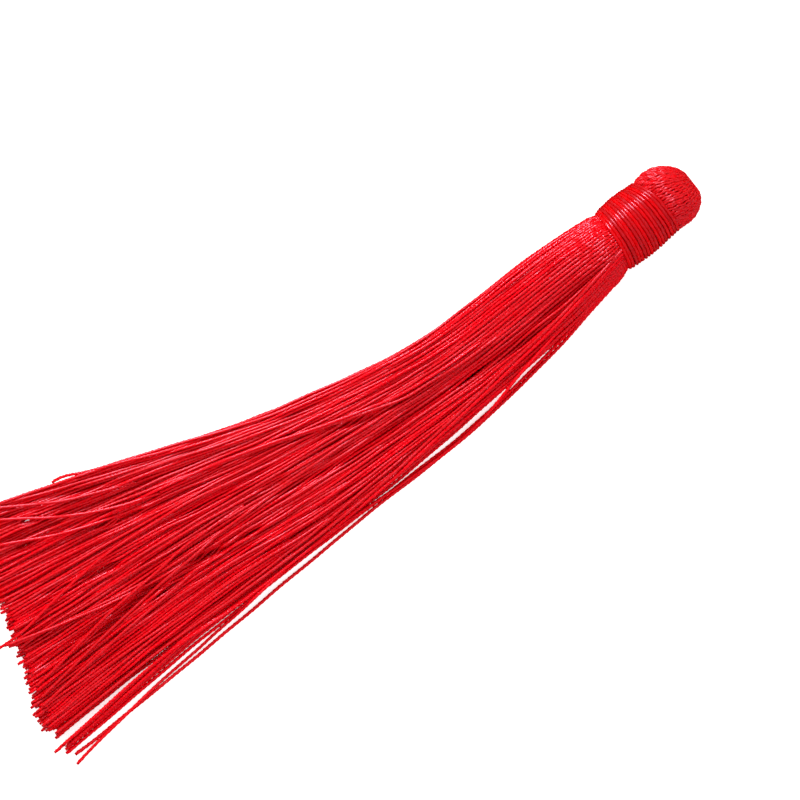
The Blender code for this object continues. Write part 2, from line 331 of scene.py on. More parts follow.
bpy.ops.object.select_all(action="DESELECT")
bpy.ops.mesh.primitive_circle_add(vertices=RING_SIDES, radius=PLY_RADIUS * MM,
                                  rotation=(0.0, math.radians(90), 0.0))
straight_yarn = bpy.context.object
bpy.ops.object.transform_apply(location=True, rotation=True, scale=True)
select_points(straight_yarn, lambda number, place: number % 2)
groove = GROOVE_RADIUS / PLY_RADIUS
bpy.ops.transform.resize(value=(1.0, groove, groove), center_override=(0.0, 0.0, 0.0))
bpy.ops.object.mode_set(mode="OBJECT")
twist = straight_yarn.modifiers.new("twist", "SCREW")
twist.axis = "X"
twist.angle = math.radians(360)
twist.screw_offset = TWIST_PITCH * MM
twist.steps = twist.render_steps = RINGS_PER_TWIST
twist.iterations = YARN_TWISTS
twist.use_normal_calculate = True
apply_modifiers(straight_yarn)
print("straight yarn:", len(straight_yarn.data.vertices), "points,",
      round(straight_yarn.dimensions.x / MM, 1), "mm long")

# %% [markdown]
# The copies below need the yarn as rings of points, in order along it. The Screw modifier already
# lays its points ring by ring, so its mesh is read once into arrays, and the original is removed.

# %% Read the yarn as rings
yarn_points = np.array([point.co for point in straight_yarn.data.vertices])
order = np.argsort(np.round(yarn_points[:, 0] / (RING_STEP * MM)), kind="stable")
yarn_rings = yarn_points[order].reshape(-1, RING_SIDES, 3)
turn = np.arctan2(yarn_rings[1, 0, 2], yarn_rings[1, 0, 1])
print("rings:", len(yarn_rings), "first ring turns by", round(math.degrees(turn), 1), "degrees")
bpy.data.objects.remove(straight_yarn)

# %% [markdown]
# ## How the strands lie
# About three hundred yarns leave the neck side by side, come down to the table and fan out. They
# could be drawn one at a time, but a real heap has an order of its own: every strand is pulled
# towards its place, pushed off its neighbours, and sinks until it rests on something. The packed
# model was settled the same way, inside nearly the same outline, with fewer and thicker strands.

# %% The skirt's sizes
ROOT_PITCH = 0.45
ROOT_CIRCLE = 4.72
ROOT_RINGS = 6
STRAND_THICK = 0.49
MOUTH_CIRCLE = 5.25
MOUTH_DISTANCE = 1.9

# The skirt as it lies. distance: from the binding. low and high: its sides. height: of the heap.
SkirtSection = namedtuple("SkirtSection", "distance low high height")
SKIRT = [SkirtSection(*row) for row in (
    (0, -5.2, 5.2, 10.3),
    (5, -5.5, 6.0, 9.6),
    (10, -5.8, 6.2, 8.6),
    (20, -6.4, 5.95, 6.8),
    (30, -6.6, 5.55, 5.6),
    (40, -6.9, 7.2, 4.7),
    (50, -7.2, 9.7, 4.0),
    (60, -7.2, 12.3, 3.5),
    (70, -7.0, 16.1, 3.1),
    (80, -6.6, 20.0, 2.8),
    (90, -6.3, 23.35, 2.5),
    (100, -6.1, 26.9, 2.3),
    (116, -5.9, 31.8, 2.1),
)]

# Locks that have parted from the skirt's lower side, across at each of LOOSE_DISTANCES.
LOOSE_DISTANCES = (2, 6, 12, 18, 25, 32, 40, 50, 60, 70, 80, 88, 97, 105, 114)
LooseLock = namedtuple("LooseLock", "strands ends across")
LOOSE_LOCKS = (
    LooseLock(1, 113.4, (-5.3, -5.95, -7.1, -8.15, -9.0, -9.75, -10.0, -9.75, -9.9, -10.3,
                         -10.65, -10.9,
                         -11.2, -11.4, -11.3)),
    LooseLock(1, 114.3, (-5.05, -5.5, -6.6, -7.6, -8.55, -9.25, -9.5, -9.3, -9.0, -8.95, -9.05,
                         -9.3,
                         -9.5, -9.8, -10.25)),
    LooseLock(3, 114.2, (-4.7, -5.0, -5.85, -6.65, -6.85, -7.5, -7.95, -8.25, -8.2, -8.25,
                         -8.2, -8.0,
                         -8.85, -9.2, -9.65)),
    LooseLock(1, 115.5, (-4.4, -4.7, -5.35, -6.05, -6.3, -6.75, -7.1, -7.45, -7.55, -7.6, -7.5,
                         -7.25,
                         -8.1, -8.65, -9.15)),
    LooseLock(3, 114.4, (-4.2, -4.4, -4.9, -5.45, -5.8, -6.2, -6.55, -6.8, -6.95, -6.95, -6.85,
                         -6.6,
                         -6.7, -6.75, -7.05)),
)

# Where the strands were cut: the distance of the end at each place across.
CutPoint = namedtuple("CutPoint", "across distance")
CUT = [CutPoint(*row) for row in (
    (-8, 114.6),
    (-4, 114.2),
    (1, 112.0),
    (6, 110.4),
    (13, 108.4),
    (22, 107.2),
    (31, 106.4),
)]
CUT_RAGGED = 0.9
CUT_STEP = 0.5

# %% How the heap settles
FLATTENS = (6.0, 48.0)
COMES_DOWN = (0.0, 30.0)
DRIFTS = (15.0, 80.0)
LOCKS = 9
LOCK_DRAW = 0.2
LOCK_UNEVEN = 0.25
LOCK_UNEVEN_WAVE = 5
LOOSE_PACKING = 0.95
LOCK_LEAN = 0.15
# The lock that has slid: how far, its middle and half width as shares of the neck, the layers it
# takes, and the distances over which it slides and comes back.
SLIPPED = -1.35
SLIPPED_PLACE = -0.72
SLIPPED_WIDTH = 0.28
SLIPS = (0.0, 12.0)
SLIPS_BACK = (55.0, 78.0)
LEAST_REACH = 0.1
SLIPPED_LAYERS = (0.25, 0.8)
FAN = 0.11
FANS_OUT = (45.0, 110.0)
WANDER = 0.5
WANDER_WAVE = 80.0
WAVE_RANGE = (0.7, 1.4)
STATION_STEP = 3.0
LAST_DISTANCE = 116.0
SETTLE_STEPS = 240
DRAW_ACROSS = 0.06
DRAW_UP = 0.03
SINK = 0.01
STRAIGHTEN = 0.2
SEED = 5


# %% Curves through the tables
def table_curve(distances, column):
    """A smooth curve through one column of a table, as values at the given distances."""
    at, places, values = np.asarray(distances, float), *np.asarray(column, float).T
    slopes = np.gradient(values, places)
    row = np.clip(np.searchsorted(places, at) - 1, 0, len(places) - 2)
    span = places[row + 1] - places[row]
    t = np.clip((at - places[row]) / span, 0.0, 1.0)
    rise = (2 * t**3 - 3 * t**2 + 1) * values[row] + (3 * t**2 - 2 * t**3) * values[row + 1]
    lean = (t**3 - 2 * t**2 + t) * slopes[row] + (t**3 - t**2) * slopes[row + 1]
    return rise + span * lean


def smooth_step(start, end, value):
    t = np.clip((value - start) / (end - start), 0.0, 1.0)
    return t * t * (3 - 2 * t)


# %% The strands in the neck
def root_places():
    """The strands' centres in the neck, about its axis: rings side by side, from the outside in."""
    places = []
    for ring in range(ROOT_RINGS):
        radius = ROOT_CIRCLE - ring * ROOT_PITCH
        count = int(2 * math.pi * radius / ROOT_PITCH)
        angle = 2 * math.pi * (np.arange(count) + ring / 2) / count
        places.append(np.stack([radius * np.sin(angle), radius * np.cos(angle)], axis=1))
    return np.concatenate(places)


def lock_order(roots):
    """The strands in order across the neck, the lower side first."""
    return np.argsort(roots[:, 0] + LOCK_LEAN * roots[:, 1], kind="stable")


# %% Where each strand is headed
def main_goals(disc, distances, draw):
    """Places across for the main body: a round heap that flattens into locks."""
    half = STRAND_THICK / 2
    low = table_curve(distances, [(row.distance, row.low) for row in SKIRT]) + half
    high = table_curve(distances, [(row.distance, row.high) for row in SKIRT]) - half
    rank = (np.arange(len(disc)) + 0.5) / len(disc)
    lock_wave = LOCKS * rank + LOCK_UNEVEN * np.sin(LOCK_UNEVEN_WAVE * math.pi * rank)
    drawn = rank + draw * np.sin(2 * math.pi * lock_wave) / (2 * math.pi * LOCKS)
    fanned = FAN * smooth_step(*FANS_OUT, distances)
    spread = drawn[:, None] - fanned * np.sin(math.pi * drawn)[:, None]
    even = low + spread * (high - low)
    round_heap = (low + high) / 2 + disc[:, None] * (high - low) / 2
    return round_heap + smooth_step(*FLATTENS, distances) * (even - round_heap)


def loose_strands(order):
    """(strand, lock, place in the lock) for every strand of the loose locks."""
    found = [(lock, k) for lock in LOOSE_LOCKS for k in range(lock.strands)]
    return [(strand, lock, k) for strand, (lock, k) in zip(order, found)]


def slipped_lock(roots, distances):
    """How far the lock on top of the lower side has slid down it, over the strands beneath."""
    place = roots[:, 0] / ROOT_CIRCLE
    layer = roots[:, 1] / np.sqrt(np.maximum(ROOT_CIRCLE**2 - roots[:, 0] ** 2, LEAST_REACH))
    off = (place - SLIPPED_PLACE) / SLIPPED_WIDTH
    in_lock = smooth_step(*SLIPPED_LAYERS, layer) * np.exp(-(off**4))
    slid = smooth_step(*SLIPS, distances) * (1.0 - smooth_step(*SLIPS_BACK, distances))
    return SLIPPED * in_lock[:, None] * slid


def across_goals(roots, distances, draw):
    """Where each strand is headed across at each distance."""
    order = lock_order(roots)
    loose = loose_strands(order)
    main_body = order[len(loose):]
    goals = np.empty((len(roots), len(distances)))
    goals[main_body] = main_goals(roots[main_body, 0] / ROOT_CIRCLE, distances, draw)
    goals += slipped_lock(roots, distances)
    for strand, lock, k in loose:
        route = table_curve(distances, list(zip(LOOSE_DISTANCES, lock.across)))
        goals[strand] = route + (k - (lock.strands - 1) / 2) * STRAND_THICK * LOOSE_PACKING
    return goals


def cut_distances(roots, draw):
    """The distance at which each strand was cut."""
    near_cut = np.array([CUT[2].distance])
    ends = table_curve(across_goals(roots, near_cut, 0.0)[:, 0], CUT)
    ends += CUT_RAGGED * draw.uniform(-1.0, 1.0, len(roots))
    for strand, lock, k in loose_strands(lock_order(roots)):
        ends[strand] = lock.ends - CUT_STEP * k
    return ends


def height_goals(roots, distances):
    """How high each strand starts out in the heap, from its place in the neck."""
    reach = np.sqrt(np.maximum(ROOT_CIRCLE**2 - roots[:, 0] ** 2, (STRAND_THICK / 2) ** 2))
    layer = np.clip(0.5 + roots[:, 1] / (2 * reach), 0.0, 1.0)
    height = table_curve(distances, [(row.distance, row.height) for row in SKIRT])
    half = STRAND_THICK / 2
    heaped = half + layer[:, None] * (height - 2 * half)
    round_heap = AXIS_HEIGHT + roots[:, 1][:, None] * (MOUTH_CIRCLE - half) / ROOT_CIRCLE
    return round_heap + smooth_step(*COMES_DOWN, distances) * (heaped - round_heap)


def wander(roots, distances, draw):
    """A slow drift of each strand to either side, which grows towards its end."""
    phase = draw.uniform(0.0, 2 * math.pi, (len(roots), 1))
    wave = WANDER_WAVE * draw.uniform(*WAVE_RANGE, (len(roots), 1))
    return WANDER * smooth_step(*DRIFTS, distances) * np.sin(2 * math.pi * distances / wave + phase)


# %% Settle the heap
def pushed_apart(across, up, thick):
    """How far strands that overlap at a station move apart, half the overlap each."""
    dy = across[:, None, :] - across[None, :, :]
    dz = up[:, None, :] - up[None, :, :]
    apart = np.sqrt(dy * dy + dz * dz) + 1e-9
    push = np.clip(thick - apart, 0.0, None) / apart * 0.5
    return (push * dy).sum(axis=1), (push * dz).sum(axis=1)


def settled_strands():
    """Every strand's root, and its route as (distances, across, up) and end, one row a strand."""
    draw = np.random.default_rng(SEED)
    roots = root_places()
    distances = np.arange(MOUTH_DISTANCE, LAST_DISTANCE + 1, STATION_STEP)
    drift = wander(roots, distances, draw)
    drift[[strand for strand, lock, k in loose_strands(lock_order(roots))]] = 0.0
    goal = across_goals(roots, distances, LOCK_DRAW) + drift
    rise = height_goals(roots, distances)
    goal, rise = goal.astype(np.float32), rise.astype(np.float32)
    across, up = goal.copy(), rise.copy()
    half = STRAND_THICK / 2
    mouth = (MOUTH_CIRCLE - half) / ROOT_CIRCLE
    for step in range(SETTLE_STEPS):
        calm = 1.0 - step / SETTLE_STEPS
        aside, lift = pushed_apart(across, up, STRAND_THICK)
        across += aside + DRAW_ACROSS * calm * (goal - across - aside)
        up += lift + DRAW_UP * calm * (rise - up - lift) - SINK * calm
        for line in (across, up):
            bend = line[:, :-2] - 2 * line[:, 1:-1] + line[:, 2:]
            line[:, 1:-1] += STRAIGHTEN * calm * bend
        across[:, 0] += calm * (roots[:, 0] * mouth - across[:, 0])
        up[:, 0] += calm * (AXIS_HEIGHT + roots[:, 1] * mouth - up[:, 0])
        up[:] = np.maximum(up, half)
    return roots, distances, across, up, cut_distances(roots, draw)


roots, stations, strand_across, strand_up, strand_ends = settled_strands()
print(len(roots), "strands at", len(stations), "stations each")

# %% [markdown]
# ## Copying the yarn onto a route
# A Curve modifier could bend one yarn along one line, but it would be set up and applied about
# three hundred times. The same bend is a few lines of array work: each ring of the straight yarn
# is cut off at the length needed, turned to face along the route, and moved there. The copies are
# joined, because hundreds of small objects would be slow to handle.

# %% Lay yarns on routes
CUT_SHAPE = (0.86, 1.06, 1.08, 1.03)
NECK_FULLNESS = 0.13
FULLNESS_FADES = (3.0, 18.0)
MAP_STARTS = 50.0
Drawn = namedtuple("Drawn", "route tone width step", defaults=(RING_STEP,))


def even_route(points, step):
    """A route's points, made one ring step apart."""
    run = np.concatenate(([0.0], np.cumsum(np.linalg.norm(np.diff(points, axis=0), axis=1))))
    at = np.arange(0.0, run[-1], step)
    return np.stack([np.interp(at, run, points[:, k]) for k in range(3)], axis=1)


def fullness(route):
    """How much fuller a yarn is where it is slack, near the neck and over the head."""
    return 1.0 + NECK_FULLNESS * (1.0 - smooth_step(*FULLNESS_FADES, -route[:, 0]))


def bent_yarn(route, width, spin):
    """The rings of one yarn bent along a route of evenly spaced points, in millimetres."""
    along = np.gradient(route, axis=0)
    along /= np.linalg.norm(along, axis=1, keepdims=True)
    side = np.array([0.0, 1.0, 0.0]) - along * along[:, 1:2]
    side /= np.linalg.norm(side, axis=1, keepdims=True)
    rise = np.cross(along, side)
    ring = yarn_rings[:len(route), :, 1:] / MM * width * fullness(route)[:, None, None]
    c, s = math.cos(spin), math.sin(spin)
    y = ring[..., 0] * c - ring[..., 1] * s
    z = ring[..., 0] * s + ring[..., 1] * c
    for k, share in enumerate(CUT_SHAPE):
        y[-1 - k] *= share
        z[-1 - k] *= share
    return route[:, None, :] + y[..., None] * side[:, None, :] + z[..., None] * rise[:, None, :]


def tube_faces(rings):
    """Four-sided faces between rings of points."""
    k = np.arange(RING_SIDES)
    after = (k + 1) % RING_SIDES
    base = np.arange(rings - 1)[:, None] * RING_SIDES
    quads = np.stack([base + k, base + after, base + RING_SIDES + after, base + RING_SIDES + k], -1)
    return quads.reshape(-1, 4)


def yarn_object(name, drawn, material, draw):
    """One object made of a copy of the yarn along every route."""
    points, tones, maps = [], [], []
    for line in drawn:
        route = even_route(np.asarray(line.route, float), line.step)[:len(yarn_rings)]
        rings = bent_yarn(route, line.width, draw.uniform(0.0, 2 * math.pi))
        points.append(placed(rings.reshape(-1, 3)))
        maps.append((len(rings), draw.uniform(0.0, MAP_STARTS)))
        tones.append(np.full(len(rings) * RING_SIDES, line.tone))
    return joined_yarns(name, np.concatenate(points), np.concatenate(tones), maps, material)


def yarn_map(count, first):
    """The yarn's UV map, corner by corner: u round the yarn and v along it in millimetres."""
    k = np.arange(RING_SIDES)
    u = np.stack([k, k + 1, k + 1, k], -1) / RING_SIDES
    v = np.array([0, 0, 1, 1]) + np.arange(count - 1)[:, None, None]
    u = np.broadcast_to(u, (count - 1, RING_SIDES, 4))
    v = np.broadcast_to(v, (count - 1, RING_SIDES, 4))
    return np.stack([u, v * RING_STEP + first], -1).reshape(-1, 2)


def joined_yarns(name, points, tones, maps, material):
    """The mesh of many yarns: walls, then a cap at each yarn's two ends."""
    walls, caps, start = [], [], 0
    for count, first in maps:
        end = start + count * RING_SIDES
        walls.append(tube_faces(count) + start)
        caps.append(list(range(start, start + RING_SIDES))[::-1])
        caps.append(list(range(end - RING_SIDES, end)))
        start = end
    walls = np.concatenate(walls)
    mesh = bpy.data.meshes.new(name)
    mesh.from_pydata(points, [], walls.tolist() + caps)
    mesh.polygons.foreach_set("use_smooth", [True] * len(mesh.polygons))
    uv = np.concatenate([yarn_map(*one) for one in maps] + [np.zeros((len(caps) * RING_SIDES, 2))])
    mesh.uv_layers.new(name="yarn").uv.foreach_set("vector", uv.astype(np.float32).ravel())
    tone = mesh.attributes.new("tone", "FLOAT", "POINT")
    tone.data.foreach_set("value", tones.astype(np.float32))
    mesh.materials.append(material)
    piece = bpy.data.objects.new(name, mesh)
    bpy.context.scene.collection.objects.link(piece)
    print(name, "has", 2 * len(walls) + (RING_SIDES - 2) * len(caps), "triangles")
    return piece


# %% [markdown]
# ## The skirt
# Every strand comes out from under the binding, where the thread has crimped it, and softens into
# a long, nearly straight line. The crimp is a short wave that dies away from the neck. Then the
# skirt's own history shows: it has been combed and laid down, so its strands have parted here and
# there. A parting pushes the upper strands on both sides of a line away from it and lets those on
# the line sink, so it reads as a dark seam without a hole in the heap.

# %% The strands as settled, finely spaced
NECK_START = -1.0
# How far the outermost strands stand from the axis under the binding and just out of it, in rows of
# (distance, radius). The binding's edge leans, so these places lean with it.
NECK_PLACES = ((-1.5, 4.20), (0.0, 4.48), (1.0, 4.84))
EDGE_LEAN = 0.11
CRIMP = 0.04
CRIMP_WAVE = 1.9
CRIMP_FADES = (1.0, 10.0)
KINK = 0.025
KINK_WAVES = (9.0, 15.0, 27.0)
KINK_RANGE = (0.8, 1.25)
SAG = 0.17
SAG_WAVE = 20.0
YARN_REST = 0.3
LAY_SEED = 11

grid = np.arange(NECK_START, LAST_DISTANCE, RING_STEP / 2)


def fine_lines(neck_share, settled, middle):
    """Settled places at each station, carried back into the neck and read along the grid."""
    lines = []
    for share, line, lean in zip(neck_share, settled, EDGE_LEAN * roots[:, 0]):
        neck = [(distance - lean, middle + share * radius) for distance, radius in NECK_PLACES]
        lines.append(table_curve(grid, neck + list(zip(stations, line))))
    return np.array(lines)


def random_phase():
    """Where each strand's wave starts, so that no two run together."""
    return lay.uniform(0.0, 2 * math.pi, (len(roots), 1))


lay = np.random.default_rng(LAY_SEED)
across = fine_lines(roots[:, 0] / ROOT_CIRCLE, strand_across, 0.0)
up = fine_lines(roots[:, 1] / ROOT_CIRCLE, strand_up, AXIS_HEIGHT)
crimped = 1.0 - smooth_step(*CRIMP_FADES, grid)
phase = random_phase()
across += CRIMP * crimped * np.sin(2 * math.pi * grid / CRIMP_WAVE + phase)
up += CRIMP * crimped * np.cos(2 * math.pi * grid / CRIMP_WAVE + phase)
for length in KINK_WAVES:
    wave = 2 * math.pi * grid / (length * lay.uniform(*KINK_RANGE, (len(roots), 1)))
    across += KINK * (1 - crimped) * np.sin(wave + random_phase())
    up += 0.5 * KINK * (1 - crimped) * np.sin(wave + random_phase())
sag_wave = 2 * math.pi * grid / (SAG_WAVE * lay.uniform(*WAVE_RANGE, (len(roots), 1)))
up -= SAG * (1 - crimped) * (1.0 + np.sin(sag_wave + random_phase()))
print("strands between", across.min().round(2), "and", across.max().round(2), "mm across")

# %% Part the strands
# A parting's middle: distance from the binding and place across. lean: how far it climbs across in
# each millimetre. reach: half its length. width: half its width. open: how far the strands on its
# two sides are pushed apart. sink: how far those in it go down. through: 1 where it opens the heap
# down to the table, 0 where it opens only the upper strands.
Parting = namedtuple("Parting", "distance across lean reach width open sink through",
                     defaults=(0.0,))
PARTINGS = [Parting(*row) for row in (
    (11.0, -2.4, -0.02, 5.0, 0.6, 0.15, 0.6),
    (16.5, -3.8, -0.02, 4.0, 0.5, 0.10, 0.4),
    (25.0, -3.2, 0.07, 7.0, 0.9, 0.12, 0.55),
    (35.0, -2.3, 0.09, 7.0, 0.8, 0.12, 0.55),
    (47.0, -1.7, 0.02, 8.0, 0.6, 0.20, 0.8),
    (59.0, 0.1, 0.15, 4.5, 0.45, 0.20, 0.7),
    (47.3, 2.4, 0.33, 2.6, 0.5, 0.20, 0.8),
    (52.5, 8.7, 0.20, 4.0, 0.6, 0.15, 0.7),
    (68.5, 10.2, 0.27, 4.5, 0.7, 0.15, 0.7),
    (63.5, 2.8, 0.13, 2.2, 0.35, 0.20, 0.7),
    (73.5, 6.8, 0.20, 4.2, 0.45, 0.25, 0.8),
    (71.2, -0.9, 0.17, 2.0, 0.35, 0.20, 0.8),
    (78.3, 0.45, 0.28, 2.8, 0.40, 0.50, 1.6),
    (85.0, 0.1, 0.00, 3.0, 0.35, 0.30, 0.8),
    (85.5, 13.1, 0.30, 3.6, 0.50, 0.45, 1.0),
    (92.7, 8.6, 0.28, 3.0, 0.40, 0.55, 1.8),
    (92.0, 1.35, -0.06, 7.0, 0.45, 0.60, 1.8),
    (95.5, 18.9, 0.36, 4.5, 0.55, 0.50, 0.9),
    (88.5, 20.7, 0.44, 5.0, 0.40, 0.30, 0.7),
    (97.5, 23.7, 0.24, 3.2, 0.40, 0.15, 0.7),
    (99.4, 10.3, 0.20, 2.2, 0.40, 0.25, 0.6),
    (105.3, 2.35, 0.04, 4.2, 0.40, 0.30, 0.7),
    (87.8, 22.9, 0.30, 1.0, 0.30, 0.30, 0.3, 1.0),
    (96.3, 21.4, 0.40, 1.2, 0.30, 0.50, 0.3, 1.0),
    (99.6, 18.9, 0.25, 1.2, 0.25, 0.30, 0.3, 1.0),
)]
PUSH_EDGE = 0.25
UPPER_LAYERS = 1.8
UPPER_START = 0.3


def part(parting, across, up):
    """Opens one parting in all the strands."""
    along = (grid - parting.distance) / parting.reach
    bell = np.exp(-along**4)
    off = across - parting.across - parting.lean * (grid - parting.distance)
    near = bell * np.exp(-((off / (2 * parting.width)) ** 2))
    layer = np.clip((up - YARN_REST) / (up.max(axis=0) - YARN_REST + 1e-6), 0.0, 1.0)
    in_it = bell * np.exp(-((off / parting.width) ** 2))
    loose = np.clip(UPPER_LAYERS * layer - UPPER_START, 0.0, 1.0)
    pushed = parting.open * near * (parting.through + (1.0 - parting.through) * loose)
    return across + pushed * np.tanh(off / PUSH_EDGE), up - parting.sink * in_it * layer


for parting in PARTINGS:
    across, up = part(parting, across, up)
up = np.maximum(up, YARN_REST)

# %% [markdown]
# ## Strands on top
# Near the cut ends a few strands have slipped out of line and lie across the others. Each is
# drawn by the places it crosses, as seen from above. Its height isn't drawn: it rests on whatever
# lies under it, which is read from the settled heap, and comes down in a long slope where that
# falls away.

# %% Routes of the strands on top
# Each route is a row of (distance, across).
STRAYS = (
    ((58, 4.6), (66, 6.4), (76, 8.6), (82, 9.3), (86, 9.7), (90, 10.0), (96, 9.8), (102, 9.2),
     (108, 8.5), (113.4, 8.8)),
    ((63, 1.5), (70, 1.7), (77.5, 2.0), (82.7, 2.4), (87, 2.9), (91, 3.5), (96, 4.5), (101, 5.6),
     (106, 6.7), (111.4, 8.1)),
    ((78, 1.4), (85, 1.9), (91, 3.0), (95.2, 3.9), (99.3, 5.0), (103, 6.0), (107, 7.2),
     (111.6, 8.6)),
    ((69, 2.9), (75, 3.3), (80.6, 3.5), (85.4, 3.1), (90, 2.9), (96, 2.5), (100, 2.0),
     (104.3, 1.4),
     (107.3, 1.0), (111.8, 0.6)),
    ((73, 1.9), (80, 1.5), (83, 1.4), (86, 1.3), (90, 1.0), (99.3, 0.2), (107, -0.7),
     (112.2, -1.3)),
    ((80, -0.4), (86, -0.7), (96, -1.1), (106, -1.9), (112.6, -2.4)),
    ((22, -0.7), (30, -0.4), (35, 0.2), (39.5, 0.7), (44, 2.1), (48, 3.4), (53, 5.1), (60, 7.6),
     (65, 9.2), (70, 10.9), (80, 14.0), (90, 17.0), (107, 21.5)),
    ((24, 0.2), (32, 0.6), (40, 1.6), (47, 3.5), (53, 5.4), (60, 7.9), (68, 10.4), (78, 12.9),
     (88, 15.0),
     (97, 16.7), (108.6, 18.6)),
    ((78, 12.3), (84, 14.5), (88, 16.4), (91, 18.1), (94, 20.0), (97, 22.2), (100, 24.2),
     (106.5, 27.6)),
    ((84, 13.2), (90, 15.2), (96, 17.8), (99.3, 19.6), (102, 21.0), (107, 23.2)),
    ((80, 16.0), (86, 18.5), (91, 20.8), (93.3, 22.2), (96, 23.9), (99, 25.8), (105.5, 28.9)),
    ((68, 14.8), (74, 17.1), (78, 18.85), (82, 20.6), (84, 21.4), (86, 22.35), (87, 22.9),
     (88, 23.35), (89.3, 23.7), (90.5, 23.75)),
    ((82, 20.45), (86, 21.95), (90, 23.3), (94, 24.72), (98, 26.08), (103, 27.8), (105.8, 28.8)),
    ((14, -5.6), (20, -6.6), (25, -7.6), (28, -8.35), (31, -9.0), (35, -9.5), (40, -9.7),
     (46, -9.55),
     (52, -9.2), (58, -8.8), (66, -8.6), (80, -8.3), (88, -7.9), (97, -8.6), (105, -9.1),
     (113.2, -9.6)),
    ((-0.4, -2.3), (7.4, -3.7), (12.6, -4.5), (18, -5.2), (23, -5.65), (29.3, -6.3), (36, -6.85),
     (41, -7.3), (46, -7.8), (53, -8.2), (60, -8.4), (80, -8.5), (90, -7.8), (114.1, -9.0)),
    ((-0.4, -1.9), (7.4, -3.2), (12.6, -4.0), (18, -4.6), (23.5, -5.1), (29.3, -5.75),
     (34.3, -6.2),
     (41, -6.75), (46, -7.2), (53, -7.6), (60, -7.8), (80, -7.3), (90, -6.8), (113.6, -6.9)),
    ((70, -8.7), (75, -9.15), (80, -9.6), (85, -9.9), (88, -10.15), (92, -10.35), (97, -10.65),
     (100, -10.95), (104, -11.4), (108, -11.8), (112, -12.35), (114.4, -12.75)),
)
SUBMERGED = 8.0
SUBMERGED_DEPTH = 0.6
SETTLED_RUN = 9
STEEPEST = 0.5
NESTLED = 0.06
PAST_END = 0.5
AWAY = 1000.0


def resting_height(columns, places):
    """The height at which a yarn rests on the strands under it, along its route."""
    heights = np.full(len(columns), YARN_REST)
    for k, (c, y) in enumerate(zip(columns, places)):
        aside = across[:, c] - y
        under = (np.abs(aside) < STRAND_THICK) & (strand_ends > grid[c] - PAST_END)
        if under.any():
            lift = np.sqrt(STRAND_THICK**2 - aside[under] ** 2)
            heights[k] = max(YARN_REST, (up[under, c] + lift).max())
    return heights


def taut(heights):
    """A height line that bridges hollows and comes down gently, as a springy yarn does."""
    pad = SETTLED_RUN
    padded = np.pad(heights, pad, mode="edge")
    window = np.lib.stride_tricks.sliding_window_view(padded, 2 * pad + 1)
    share = np.hanning(2 * pad + 3)[1:-1]
    high = window.max(axis=1)
    drop = STEEPEST * RING_STEP / 2
    for k in range(1, len(high)):
        high[k] = max(high[k], high[k - 1] - drop)
    for k in range(len(high) - 2, -1, -1):
        high[k] = max(high[k], high[k + 1] - drop)
    high = np.pad(high, pad, mode="edge")
    return np.lib.stride_tricks.sliding_window_view(high, 2 * pad + 1) @ share / share.sum()


for stray in STRAYS:
    kept = np.flatnonzero((grid >= stray[0][0]) & (grid <= stray[-1][0]))
    stray_across = np.full(len(grid), AWAY)
    stray_up = np.full(len(grid), YARN_REST)
    stray_across[kept] = table_curve(grid[kept], stray)
    sunk = SUBMERGED_DEPTH * (1.0 - smooth_step(0.0, SUBMERGED, grid[kept] - stray[0][0]))
    stray_up[kept] = taut(resting_height(kept, stray_across[kept])) - NESTLED - sunk
    across = np.vstack([across, stray_across])
    up = np.vstack([up, np.maximum(stray_up, YARN_REST)])
    strand_ends = np.append(strand_ends, stray[-1][0])
print(len(STRAYS), "strands on top")

# %% Dress the skirt
STRANDS_A_PIECE = 66
YARN_WIDTHS = (0.97, 1.09)
LOOSE_FULLNESS = 0.1


def strand_line(k):
    """One strand from inside the binding to its cut end."""
    kept = (grid <= strand_ends[k]) & (across[k] < AWAY)
    return np.stack([-grid[kept], across[k, kept], up[k, kept]], axis=1)


loosened = {strand for strand, lock, k in loose_strands(lock_order(roots))}
strand_lines = [Drawn(strand_line(k), lay.uniform(0.0, 1.0),
                      lay.uniform(*YARN_WIDTHS) + LOOSE_FULLNESS * (k in loosened))
                for k in range(len(across))]
print(len(strand_lines), "yarns in the skirt")
for first in range(0, len(strand_lines), STRANDS_A_PIECE):
    name = f"skirt_yarns_{first // STRANDS_A_PIECE + 1}"
    piece = yarn_object(name, strand_lines[first:first + STRANDS_A_PIECE], yarn_silk, lay)
    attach(piece, "root")
    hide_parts("yarn_bundle")

# %% [markdown]
# ## The head's core
# Under the folded yarns there is only more yarn, packed tight. A plain closed core stands in for
# it, so that no light shows between the outer yarns. Its reds are darker than the yarns': painted
# shade, for the shade deep in the packed yarn. It is one ring extruded along the axis and scaled at
# each step, as a vase would be modelled.

# %% Model the core
# The head from the binding to its crown. along: from the strands' edge of the binding. shift: of
# the ring's middle across the axis.
HeadRing = namedtuple("HeadRing", "along half_width half_height shift")
HEAD = [HeadRing(*row) for row in (
    (7.6, 4.50, 4.20, 0.10),
    (8.5, 4.92, 4.35, 0.24),
    (9.5, 5.12, 4.75, 0.27),
    (10.8, 5.18, 5.30, 0.22),
    (12.0, 5.00, 5.05, 0.08),
    (13.2, 4.45, 4.40, -0.08),
    (14.1, 3.75, 3.40, -0.20),
    (14.75, 2.95, 2.20, -0.30),
    (15.1, 2.10, 1.00, -0.40),
)]
CORE_INSET = 0.42
CORE_SIDES = 48
CORE_START = 0.2
CORE_SHOULDER = 7.2
CORE_REST = 0.25
CORE_SMOOTH = math.radians(50)
NECK_CORE = 4.30
# The core's two reds are painted shade: the same silk as the yarns, darker for the shade among
# packed yarn.
PACKED_SHADE_DEEP = (0.50, 0.0006, 0.0020, 1.0)
PACKED_SHADE_BRIGHT = (0.70, 0.0010, 0.0040, 1.0)


